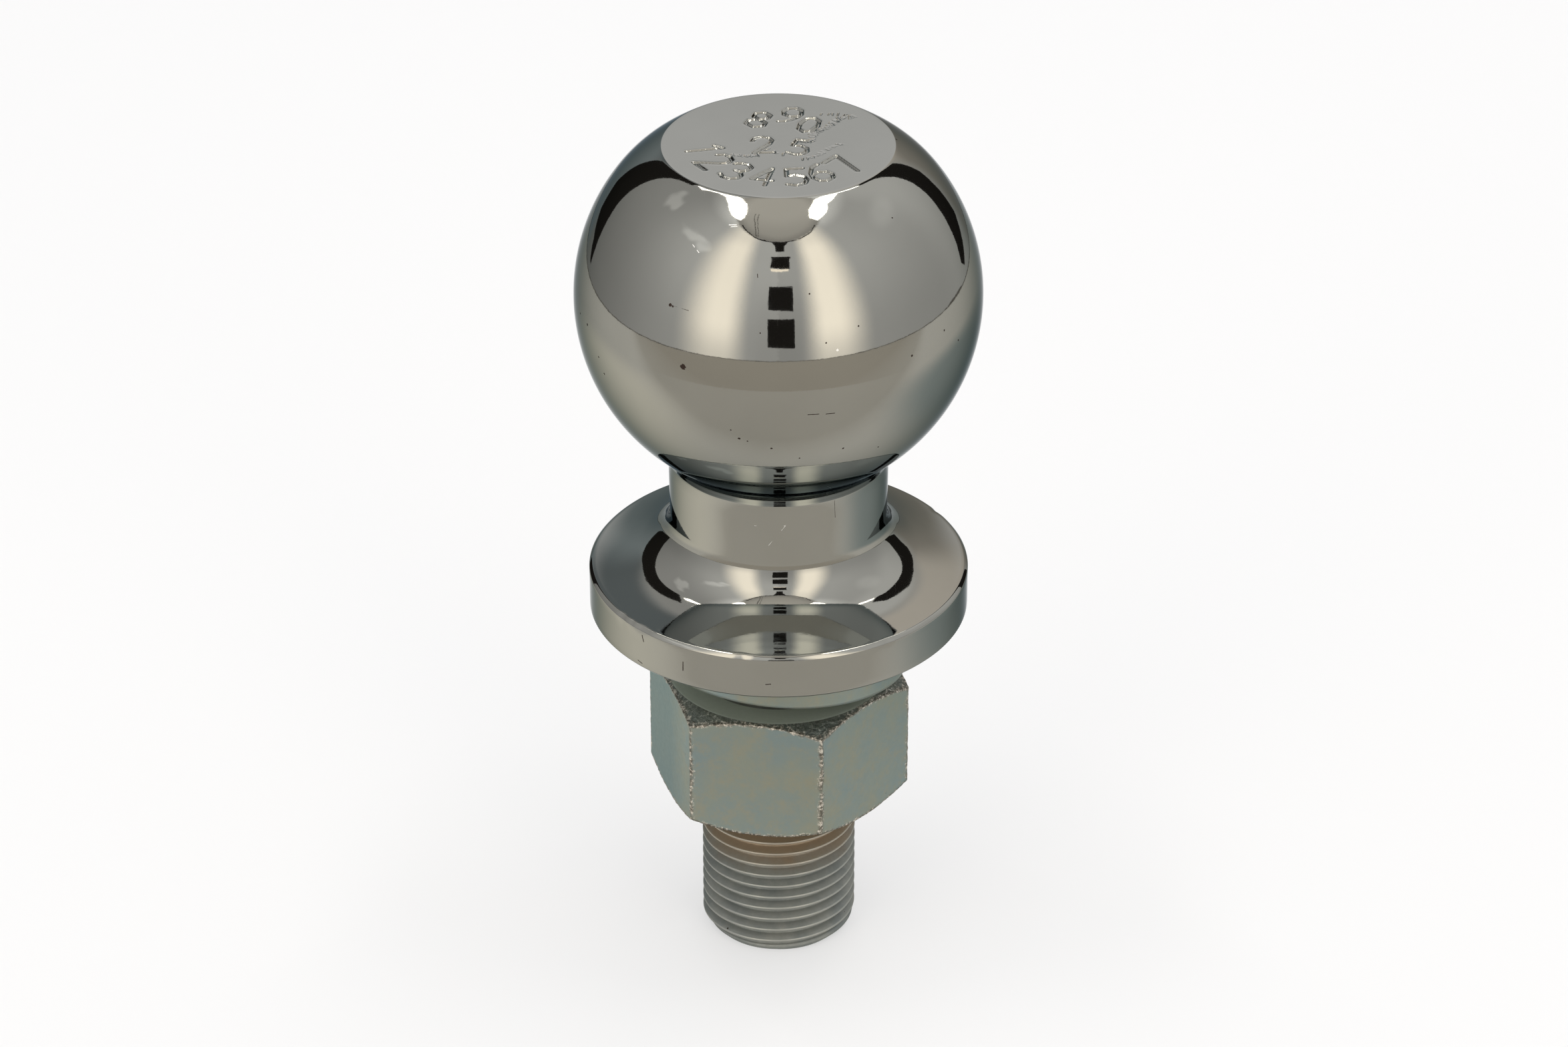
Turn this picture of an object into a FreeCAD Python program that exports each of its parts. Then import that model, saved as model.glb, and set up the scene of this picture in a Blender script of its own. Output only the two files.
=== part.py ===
import FreeCAD, Part
import math
import os

Vector = FreeCAD.Vector

# A towing ball in millimetres. The flange's flat underside is z = 0, the ball is above it on
# the Z axis, and the shank hangs below with its split washer and nut.

# Ball and neck
ball_diameter = 47.625
ball_centre_height = 41.45
top_flat_diameter = 26.9
top_edge_sink = 0.41
shoulder_radius = 18.0
neck_diameter = 25.8
ball_root_radius = 5.0

# Flange, whose top slopes from the neck to the rim
flange_diameter = 45.25
flange_rim_height = 5.6
flange_lip_chamfer = 0.4
flange_top_slope = 22.0
flange_root_radius = 4.7
seat_edge_chamfer = 0.3

# Shank, sized over the crests of its fine thread
shank_diameter = 18.7
shank_length = 45.35
end_face_diameter = 16.3
end_chamfer_angle = 45.0

# Hex nut
nut_across_flats = 27.75
nut_thickness = 15.95
nut_top_depth = 9.25
nut_corner_radius = 0.4
nut_bevel_diameter = 27.1
nut_bevel_angle = 30.0
nut_mouth_diameter = 20.6
nut_bore_play = 0.08
nut_turn = -11.3

# Split spring washer, loose on the shank and leaning on it
washer_width = 5.85
washer_thickness = 3.4
washer_bore_play = 0.55
washer_split_gap = 1.6
washer_split_slant = 25.0
washer_split_azimuth = 180.0
washer_lean = 6.3
washer_high_side = -140.0
washer_nut_gap = 0.9

# How far a cutting solid runs past what it cuts
overrun = 1.0

shank_radius = shank_diameter / 2
z_axis = Vector(0, 0, 1)
origin = Vector(0, 0, 0)


def point(radius, height):
    return Vector(radius, 0, height)


def arc(centre, radius, start, end):
    spots = [
        centre + Vector(radius * math.cos(angle), 0, radius * math.sin(angle))
        for angle in (start, (start + end) / 2, end)
    ]
    return Part.Arc(*spots)


def lines(*corners):
    return [Part.makeLine(first, second) for first, second in zip(corners, corners[1:])]


def revolve(edges):
    return Part.Face(Part.Wire(edges)).revolve(origin, z_axis, 360)


def make_ball_stud():
    ball_radius = ball_diameter / 2
    neck_radius = neck_diameter / 2
    flange_radius = flange_diameter / 2
    centre = point(0, ball_centre_height)

    # The flat is cut across the ball, and a rounder shoulder rolls from its edge into the ball.
    # The edge lies a little inside the ball's own sphere.
    flat_radius = top_flat_diameter / 2
    edge_reach = ball_radius - top_edge_sink
    flat_height = ball_centre_height + math.sqrt(edge_reach**2 - flat_radius**2)
    shoulder_offset = ball_radius - shoulder_radius
    closing = edge_reach**2 + shoulder_offset**2 - shoulder_radius**2
    shoulder_turn = math.acos(closing / (2 * edge_reach * shoulder_offset))
    shoulder_angle = math.acos(flat_radius / edge_reach) - shoulder_turn
    shoulder_centre = centre + shoulder_offset * Vector(
        math.cos(shoulder_angle), 0, math.sin(shoulder_angle)
    )
    edge_spot = point(flat_radius, flat_height) - shoulder_centre
    edge_angle = math.atan2(edge_spot.z, edge_spot.x)

    # The ball runs into the neck through a hollow radius. The arcs beside the ball's own are
    # drawn as splines, which need fewer facets than rings of the same arcs.
    root_reach = neck_radius + ball_root_radius
    root_drop = math.sqrt((ball_radius + ball_root_radius) ** 2 - root_reach**2)
    root_centre = point(root_reach, ball_centre_height - root_drop)
    root_angle = math.atan2(-root_drop, root_reach)

    # The flange's sloping top meets the neck in a hollow radius of its own.
    slope = math.radians(flange_top_slope)
    lip_radius = flange_radius - flange_lip_chamfer
    hollow_radius = neck_radius + flange_root_radius
    hollow_height = flange_rim_height + (lip_radius - hollow_radius) * math.tan(slope)
    hollow_centre = point(hollow_radius, hollow_height + flange_root_radius / math.cos(slope))

    chamfer_length = (shank_radius - end_face_diameter / 2) / math.tan(math.radians(end_chamfer_angle))
    outline = lines(point(0, flat_height), point(flat_radius, flat_height))
    shoulder = arc(shoulder_centre, shoulder_radius, edge_angle, shoulder_angle)
    outline.append(shoulder.toBSpline().toShape())
    outline.append(arc(centre, ball_radius, shoulder_angle, root_angle).toShape())
    root = arc(root_centre, ball_root_radius, root_angle + math.pi, math.pi)
    outline.append(root.toBSpline().toShape())
    outline += lines(point(neck_radius, root_centre.z), point(neck_radius, hollow_centre.z))
    hollow = arc(hollow_centre, flange_root_radius, math.pi, 1.5 * math.pi - slope)
    outline.append(hollow.toBSpline().toShape())
    outline += lines(
        hollow.EndPoint,
        point(lip_radius, flange_rim_height),
        point(flange_radius, flange_rim_height - flange_lip_chamfer),
        point(flange_radius, seat_edge_chamfer),
        point(flange_radius - seat_edge_chamfer, 0),
        point(shank_radius, 0),
        point(shank_radius, chamfer_length - shank_length),
        point(end_face_diameter / 2, -shank_length),
        point(0, -shank_length),
        point(0, flat_height),
    )
    return revolve(outline)


def make_hex_nut():
    bevel_radius = nut_bevel_diameter / 2
    bore_radius = shank_radius + nut_bore_play
    mouth_radius = nut_mouth_diameter / 2
    top = -nut_top_depth
    bottom = top - nut_thickness

    corner_reach = nut_across_flats / 2 / math.cos(math.radians(30))
    corners = [
        Vector(corner_reach * math.cos(angle), corner_reach * math.sin(angle), bottom)
        for angle in (math.radians(nut_turn + 60 * count) for count in range(6))
    ]
    hexagon = Part.Face(Part.makePolygon(corners + corners[:1]))
    prism = hexagon.extrude(Vector(0, 0, nut_thickness))
    upright = [
        edge for edge in prism.Edges if abs(edge.tangentAt(edge.FirstParameter).z) > 0.5
    ]
    prism = prism.makeFillet(nut_corner_radius, upright)

    # A cone bevels each end, which leaves a round face and curved tops on the six flats.
    reach = corner_reach + overrun
    bevel_drop = (reach - bevel_radius) * math.tan(math.radians(nut_bevel_angle))
    countersink = mouth_radius - bore_radius
    outline = lines(
        point(bore_radius, bottom + countersink),
        point(mouth_radius, bottom),
        point(bevel_radius, bottom),
        point(reach, bottom + bevel_drop),
        point(reach, top - bevel_drop),
        point(bevel_radius, top),
        point(mouth_radius, top),
        point(bore_radius, top - countersink),
        point(bore_radius, bottom + countersink),
    )
    return prism.common(revolve(outline))


def make_spring_washer():
    inner = shank_radius + washer_bore_play
    outer = inner + washer_width
    middle = washer_thickness / 2
    ring = Part.makeCylinder(outer, washer_thickness).cut(Part.makeCylinder(inner, washer_thickness))

    # The split is sawn on a slant, so that each end keeps a sharp biting edge.
    height = 3 * washer_thickness
    saw = Part.makeBox(
        outer + overrun, washer_split_gap, height, Vector(0, -washer_split_gap / 2, -height / 2)
    )
    saw.rotate(origin, Vector(1, 0, 0), washer_split_slant)
    saw.translate(Vector(0, 0, middle))
    ring = ring.cut(saw)

    # It leans on the shank, with its low side just over the nut.
    ring.rotate(origin, z_axis, washer_split_azimuth)
    high = math.radians(washer_high_side)
    ring.rotate(point(0, middle), Vector(math.sin(high), -math.cos(high), 0), washer_lean)
    lowest = ring.optimalBoundingBox(False, False).ZMin
    ring.translate(Vector(0, 0, washer_nut_gap - nut_top_depth - lowest))
    return ring


pieces = {
    "ball_stud": make_ball_stud(),
    "spring_washer": make_spring_washer(),
    "hex_nut": make_hex_nut(),
}

os.makedirs("parts", exist_ok=True)
for name, shape in pieces.items():
    shape.exportStep(f"parts/{name}.step")
    box = shape.optimalBoundingBox(False, False)
    size = f"z {box.ZMin:.2f} to {box.ZMax:.2f}, {box.XLength:.2f} wide"
    print(name, "valid", shape.isValid(), "solids", len(shape.Solids), f"{shape.Volume:.1f} mm3", size)
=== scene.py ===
import math
import random

import bmesh
import bpy
from mathutils import Matrix, Vector, noise
from mathutils.bvhtree import BVHTree


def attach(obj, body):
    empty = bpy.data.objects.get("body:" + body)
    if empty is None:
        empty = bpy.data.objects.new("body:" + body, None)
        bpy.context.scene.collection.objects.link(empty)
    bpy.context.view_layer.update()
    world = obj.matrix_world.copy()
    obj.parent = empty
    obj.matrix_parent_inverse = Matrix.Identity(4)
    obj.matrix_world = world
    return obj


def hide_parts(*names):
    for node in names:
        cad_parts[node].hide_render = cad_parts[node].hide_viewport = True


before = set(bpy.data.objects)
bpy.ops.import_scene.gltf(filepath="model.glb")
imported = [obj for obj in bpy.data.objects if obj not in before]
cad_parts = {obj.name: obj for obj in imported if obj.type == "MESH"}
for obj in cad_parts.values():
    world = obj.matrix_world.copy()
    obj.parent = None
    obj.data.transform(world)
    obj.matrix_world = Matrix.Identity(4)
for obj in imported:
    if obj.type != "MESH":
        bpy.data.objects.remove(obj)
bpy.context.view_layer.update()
print("frame loaded", sorted(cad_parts))

# Sizes are written in millimetres and made metres by mm().
rng = random.Random(7)


def mm(value):
    return value / 1000


def linearColour(red, green, blue):
    return (red, green, blue, 1.0)


def smooth(value, low, high):
    share = min(1, max(0, (value - low) / (high - low)))
    return share * share * (3 - 2 * share)


# The photo's camera. Places in the photo are read in enlarged parts of it, each given here by its
# left, top and width in the photo's pixels.
photoView = {
    "place": Vector((0.000649, -0.557421, 0.335359)),
    "tilt": 59.762,
    "lens": 124.4203,
    "sensor": 36,
    "wide": 2349,
    "high": 1568,
    "enlargedTo": 1568,
    "ball": (840, 120, 660),
    "low": (840, 640, 660),
    "flat": (860, 120, 620),
}


def sightLine(part, x, y):
    # The way from the camera through a place in an enlarged part
    left, top, width = photoView[part]
    scale = width / photoView["enlargedTo"]
    across = left + x * scale - photoView["wide"] / 2
    down = top + y * scale - photoView["high"] / 2
    focal = photoView["lens"] / photoView["sensor"] * photoView["wide"]
    ray = Vector((across, -down, -focal)).normalized()
    return Matrix.Rotation(math.radians(photoView["tilt"]), 3, "X") @ ray


# Mesh helpers
def setRadius(vert, radius):
    now = math.hypot(vert.co.x, vert.co.y)
    vert.co.x *= radius / now
    vert.co.y *= radius / now


def startLine(bm, radius, height):
    return bm.verts.new((mm(radius), 0, mm(height)))


def lineTo(bm, last, radius, height, cuts=1):
    begin = last.co.copy()
    end = Vector((mm(radius), 0, mm(height)))
    for count in range(1, cuts + 1):
        last = bmesh.ops.extrude_vert_indiv(bm, verts=[last])["verts"][0]
        last.co = begin.lerp(end, count / cuts)
    return last


def arcTo(bm, last, centreRadius, centreHeight, degrees, steps):
    # A positive angle turns from up towards outwards.
    centre = (mm(centreRadius), 0, mm(centreHeight))
    turned = bmesh.ops.spin(
        bm, geom=[last], cent=centre, axis=(0, 1, 0), angle=math.radians(degrees), steps=steps
    )
    return [item for item in turned["geom_last"] if isinstance(item, bmesh.types.BMVert)][0]


def spinRound(bm, steps, sectors=8):
    # One sector is spun and the rest are turned copies, which is much quicker.
    turn = 2 * math.pi / sectors
    bmesh.ops.spin(
        bm,
        geom=bm.verts[:] + bm.edges[:],
        cent=(0, 0, 0),
        axis=(0, 0, 1),
        angle=turn,
        steps=steps // sectors,
    )
    repeat(bm, sectors, Matrix.Rotation(turn, 4, "Z"))
    bmesh.ops.remove_doubles(bm, verts=bm.verts[:], dist=1e-7)


def repeat(bm, count, move):
    geometry = bm.verts[:] + bm.edges[:] + bm.faces[:]
    for turn in range(1, count):
        geometry = bmesh.ops.duplicate(bm, geom=geometry)["geom"]
        copied = [item for item in geometry if isinstance(item, bmesh.types.BMVert)]
        bmesh.ops.transform(bm, matrix=move, verts=copied)


def roundRing(bm, radius, height, size, segments=3):
    def onRing(vert):
        atRadius = abs(math.hypot(vert.co.x, vert.co.y) - mm(radius)) < 2e-6
        return atRadius and abs(vert.co.z - mm(height)) < 2e-6

    ring = [edge for edge in bm.edges if onRing(edge.verts[0]) and onRing(edge.verts[1])]
    bmesh.ops.bevel(
        bm,
        geom=ring,
        offset=mm(size),
        offset_type="OFFSET",
        segments=segments,
        profile=0.5,
        affect="EDGES",
        material=-1,
    )


def finishPiece(name, bm, material, body, nodes=()):
    bmesh.ops.recalc_face_normals(bm, faces=bm.faces[:])
    for face in bm.faces:
        face.smooth = True
    mesh = bpy.data.meshes.new(name)
    bm.to_mesh(mesh)
    bm.free()
    piece = bpy.data.objects.new(name, mesh)
    bpy.context.scene.collection.objects.link(piece)
    mesh.materials.append(material)
    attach(piece, body)
    if nodes:
        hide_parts(*nodes)
    print("piece", name, len(mesh.polygons), "faces")
    return piece


# Node helpers
def nodeAt(tree, kind, place, **inputs):
    node = tree.nodes.new(kind)
    node.location = place
    for key, value in inputs.items():
        node.inputs[key.replace("_", " ")].default_value = value
    return node


def maths(tree, place, operation, first, second=None, third=None, clamp=False):
    node = tree.nodes.new("ShaderNodeMath")
    node.location = place
    node.operation = operation
    node.use_clamp = clamp
    for slotIndex, value in enumerate((first, second, third)):
        if value is None:
            continue
        if isinstance(value, (int, float)):
            node.inputs[slotIndex].default_value = value
        else:
            tree.links.new(value, node.inputs[slotIndex])
    return node.outputs[0]


def rampOf(tree, place, value, stops):
    node = tree.nodes.new("ShaderNodeValToRGB")
    node.location = place
    elements = node.color_ramp.elements
    while len(elements) < len(stops):
        elements.new(0.5)
    for element, (position, level) in zip(elements, stops):
        element.position = position
        element.color = (level, level, level, 1) if isinstance(level, (int, float)) else (*level, 1)
    tree.links.new(value, node.inputs[0])
    return node.outputs[0]


def mixColour(tree, place, factor, first, second, blend="MIX"):
    node = tree.nodes.new("ShaderNodeMix")
    node.location = place
    node.data_type = "RGBA"
    node.blend_type = blend
    for slotIndex, value in ((0, factor), (6, first), (7, second)):
        if isinstance(value, (int, float)):
            node.inputs[slotIndex].default_value = value
        elif isinstance(value, tuple):
            node.inputs[slotIndex].default_value = (*value[:3], 1)
        else:
            tree.links.new(value, node.inputs[slotIndex])
    return node.outputs[2]


def newMaterial(name):
    material = bpy.data.materials.new(name)
    material.use_nodes = True
    tree = material.node_tree
    tree.nodes.clear()
    output = nodeAt(tree, "ShaderNodeOutputMaterial", (900, 0))
    shader = nodeAt(tree, "ShaderNodeBsdfPrincipled", (600, 0))
    tree.links.new(shader.outputs[0], output.inputs[0])
    coords = nodeAt(tree, "ShaderNodeTexCoord", (-1400, 0))
    return material, tree, shader, coords.outputs["Object"]


def noiseOf(tree, place, coords, scale, detail=2.0, roughness=0.5, stretch=None, turn=None):
    if stretch or turn:
        mapping = nodeAt(tree, "ShaderNodeMapping", (place[0] - 200, place[1]))
        mapping.inputs["Scale"].default_value = stretch or (1, 1, 1)
        mapping.inputs["Rotation"].default_value = [math.radians(angle) for angle in turn or (0, 0, 0)]
        tree.links.new(coords, mapping.inputs[0])
        coords = mapping.outputs[0]
    node = nodeAt(tree, "ShaderNodeTexNoise", place, Scale=scale, Detail=detail, Roughness=roughness)
    tree.links.new(coords, node.inputs["Vector"])
    return node.outputs["Fac"]


def vectorMaths(tree, place, operation, first, second):
    node = tree.nodes.new("ShaderNodeVectorMath")
    node.location = place
    node.operation = operation
    for slotIndex, value in enumerate((first, second)):
        if isinstance(value, tuple):
            node.inputs[slotIndex].default_value = value
        else:
            tree.links.new(value, node.inputs[slotIndex])
    return node


def nearMark(tree, place, coords, ends):
    # Distance from a spot, or from a scratch when the mark has two ends
    if len(ends) == 1:
        return vectorMaths(tree, place, "DISTANCE", coords, tuple(ends[0])).outputs["Value"]
    run = ends[1] - ends[0]
    away = vectorMaths(tree, place, "SUBTRACT", coords, tuple(ends[0])).outputs["Vector"]
    scaled = tuple(run / run.length_squared)
    share = vectorMaths(tree, place, "DOT_PRODUCT", away, scaled).outputs["Value"]
    held = maths(tree, place, "MULTIPLY", share, 1.0, clamp=True)
    along = tree.nodes.new("ShaderNodeVectorMath")
    along.location = place
    along.operation = "SCALE"
    along.inputs[0].default_value = tuple(run)
    tree.links.new(held, along.inputs["Scale"])
    return vectorMaths(tree, place, "DISTANCE", away, along.outputs["Vector"]).outputs["Value"]


def marksMask(tree, place, coords, surface, marks, ragged):
    total = None
    for part, ends, width in marks:
        spots = [surface.ray_cast(photoView["place"], sightLine(part, x, y))[0] for x, y in ends]
        size = mm(width)
        distance = nearMark(tree, place, coords, spots)
        rough = maths(tree, place, "MULTIPLY_ADD", ragged, size * 1.2, -size * 0.6)
        close = maths(tree, place, "ADD", distance, rough)
        inside = maths(tree, place, "LESS_THAN", close, size)
        total = inside if total is None else maths(tree, place, "MAXIMUM", total, inside)
    return total


def bumpOf(tree, place, height, distance, strength=1.0, under=None):
    node = nodeAt(tree, "ShaderNodeBump", place, Strength=strength, Distance=distance)
    tree.links.new(height, node.inputs["Height"])
    if under is not None:
        tree.links.new(under, node.inputs["Normal"])
    return node.outputs["Normal"]


def makeSpecksGroup():
    # Sparse round specks: a share of the cells of a Voronoi pattern has one
    group = bpy.data.node_groups.new("specks", "ShaderNodeTree")
    group.interface.new_socket(name="Coordinates", in_out="INPUT", socket_type="NodeSocketVector")
    for name in ("Scale", "Reach", "Share"):
        group.interface.new_socket(name=name, in_out="INPUT", socket_type="NodeSocketFloat")
    group.interface.new_socket(name="Mask", in_out="OUTPUT", socket_type="NodeSocketFloat")
    entry = nodeAt(group, "NodeGroupInput", (-600, 0)).outputs
    cells = nodeAt(group, "ShaderNodeTexVoronoi", (-400, 0))
    group.links.new(entry["Coordinates"], cells.inputs["Vector"])
    group.links.new(entry["Scale"], cells.inputs["Scale"])
    apart = nodeAt(group, "ShaderNodeSeparateColor", (-200, 200))
    group.links.new(cells.outputs["Color"], apart.inputs[0])
    chosen = maths(group, (0, 200), "LESS_THAN", apart.outputs[0], entry["Share"])
    reach = maths(group, (0, 0), "MULTIPLY", apart.outputs[1], entry["Reach"])
    inside = maths(group, (200, 0), "LESS_THAN", cells.outputs["Distance"], reach)
    mask = maths(group, (400, 0), "MULTIPLY", chosen, inside)
    leave = nodeAt(group, "NodeGroupOutput", (600, 0))
    group.links.new(mask, leave.inputs["Mask"])
    return group


specksGroup = makeSpecksGroup()


def specksOf(tree, place, coords, scale, size, share):
    node = tree.nodes.new("ShaderNodeGroup")
    node.location = place
    node.node_tree = specksGroup
    node.inputs["Scale"].default_value = scale
    node.inputs["Reach"].default_value = size * scale
    node.inputs["Share"].default_value = share
    tree.links.new(coords, node.inputs["Coordinates"])
    return node.outputs["Mask"]


def fromAxis(tree, place, coords):
    # The three coordinates, and the distance from the Z axis
    apart = nodeAt(tree, "ShaderNodeSeparateXYZ", place)
    tree.links.new(coords, apart.inputs[0])
    x, y, z = apart.outputs
    squareX = maths(tree, (place[0] + 100, place[1]), "MULTIPLY", x, x)
    squares = maths(tree, (place[0] + 200, place[1]), "MULTIPLY_ADD", y, y, squareX)
    return x, y, z, maths(tree, (place[0] + 300, place[1]), "SQRT", squares)


# Chips, pits and scratches of the chrome: the enlarged part that shows it, its place there or its two
# ends, and half its width in millimetres
chromeMarks = {
    "dark": [
        ("ball", [(435, 1020)], 0.34),
        ("ball", [(390, 800)], 0.20),
        ("ball", [(399, 805)], 0.12),
        ("ball", [(390, 800), (455, 820)], 0.03),
        ("ball", [(70, 830)], 0.12),
        ("ball", [(95, 870)], 0.16),
        ("ball", [(135, 985)], 0.12),
        ("ball", [(155, 1045)], 0.14),
        ("ball", [(885, 760)], 0.10),
        ("ball", [(710, 900)], 0.08),
        ("ball", [(945, 935)], 0.09),
        ("ball", [(1060, 875)], 0.10),
        ("ball", [(1250, 980)], 0.13),
        ("ball", [(1365, 890)], 0.12),
        ("ball", [(1415, 925)], 0.12),
        ("ball", [(1180, 490)], 0.10),
        ("ball", [(1195, 211)], 0.13),
        ("ball", [(880, 1190), (919, 1188)], 0.05),
        ("ball", [(945, 1188), (975, 1185)], 0.05),
        ("ball", [(635, 1275)], 0.14),
        ("ball", [(605, 1245)], 0.09),
        ("ball", [(665, 1285)], 0.10),
        ("ball", [(750, 1310)], 0.13),
        ("ball", [(850, 1345)], 0.10),
        ("ball", [(1005, 1310)], 0.12),
        ("ball", [(1130, 1305)], 0.10),
        ("ball", [(700, 690), (701, 702)], 0.04),
        ("low", [(435, 835), (435, 865)], 0.06),
        ("low", [(290, 740), (295, 762)], 0.07),
        ("low", [(290, 840), (275, 828)], 0.05),
        ("low", [(730, 915), (747, 914)], 0.06),
        ("low", [(975, 261), (977, 320)], 0.025),
    ],
    "bright": [
        ("ball", [(600, 515), (625, 515)], 0.05),
        ("ball", [(606, 522), (628, 521)], 0.04),
        ("ball", [(985, 960)], 0.15),
        ("ball", [(470, 585), (476, 594)], 0.04),
        ("ball", [(485, 605), (492, 614)], 0.04),
        ("low", [(690, 350), (800, 350)], 0.03),
        ("low", [(800, 350), (740, 420)], 0.03),
    ],
}


def makeChrome(surface, marks):
    look = {
        "base": (0.31, 0.302, 0.262),
        "edge": (0.30, 0.33, 0.34),
        "paintedReflectionTone": (0.50, 0.53, 0.53),
        "roughness": 0.035,
    }
    material, tree, shader, coords = newMaterial("chrome")
    shader.inputs["Specular Tint"].default_value = linearColour(*look["edge"])
    cloud = noiseOf(tree, (-900, 500), coords, 55.0, 4.0, 0.6)
    fine = noiseOf(tree, (-900, 300), coords, 900.0, 3.0, 0.6)
    ragged = noiseOf(tree, (-900, 100), coords, 4500.0, 3.0, 0.7)
    pale = tuple(0.93 * part for part in look["base"])
    stained = rampOf(tree, (-600, 500), cloud, [(0.35, look["base"]), (0.75, pale)])
    specks = specksOf(tree, (-900, -300), coords, 230.0, 0.00014, 0.16)
    pocked = marksMask(tree, (-900, -500), coords, surface, marks["dark"], ragged)
    dark = maths(tree, (-300, -300), "MAXIMUM", specks, pocked)
    bright = marksMask(tree, (-900, -700), coords, surface, marks["bright"], ragged)
    pitted = mixColour(tree, (-100, 500), dark, stained, (0.045, 0.032, 0.026))
    chipped = mixColour(tree, (100, 500), bright, pitted, (0.85, 0.83, 0.78))
    # Painted light: where polished metal reflects it, the chrome is painted brighter than it is, or second
    # reflections come out too dark.
    path = nodeAt(tree, "ShaderNodeLightPath", (100, 800))
    paintedReflectionBase = mixColour(tree, (300, 500), path.outputs["Is Glossy Ray"], chipped, look["paintedReflectionTone"])
    tree.links.new(paintedReflectionBase, shader.inputs["Base Color"])
    shader.inputs["Metallic"].default_value = 1.0
    # Hairlines in several directions haze the plating a little
    hairA = noiseOf(tree, (-900, -900), coords, 260.0, 3.0, 0.6, stretch=(1, 14, 1), turn=(20, 0, 35))
    hairB = noiseOf(tree, (-900, -1100), coords, 240.0, 3.0, 0.6, stretch=(12, 1, 1), turn=(0, 50, -20))
    hair = maths(tree, (-600, -900), "MAXIMUM", hairA, hairB)
    lines = rampOf(tree, (-400, -900), hair, [(0.66, 0.0), (0.72, 0.05)])
    haze = maths(tree, (-400, 200), "MULTIPLY_ADD", fine, 0.05, look["roughness"] - 0.02)
    scratched = maths(tree, (-200, 200), "ADD", haze, lines)
    marked = maths(tree, (0, 200), "MAXIMUM", dark, bright)
    roughness = maths(tree, (200, 200), "MULTIPLY_ADD", marked, 0.45, scratched)
    tree.links.new(roughness, shader.inputs["Roughness"])
    swell = noiseOf(tree, (-900, -1300), coords, 130.0, 2.0, 0.5)
    waves = bumpOf(tree, (200, -300), swell, 0.000005)
    grain = bumpOf(tree, (400, -300), fine, 0.0000022, under=waves)
    pits = maths(tree, (200, -500), "MULTIPLY", marked, -1.0)
    dented = bumpOf(tree, (600, -300), pits, 0.00003, under=grain)
    tree.links.new(dented, shader.inputs["Normal"])
    return material


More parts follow.
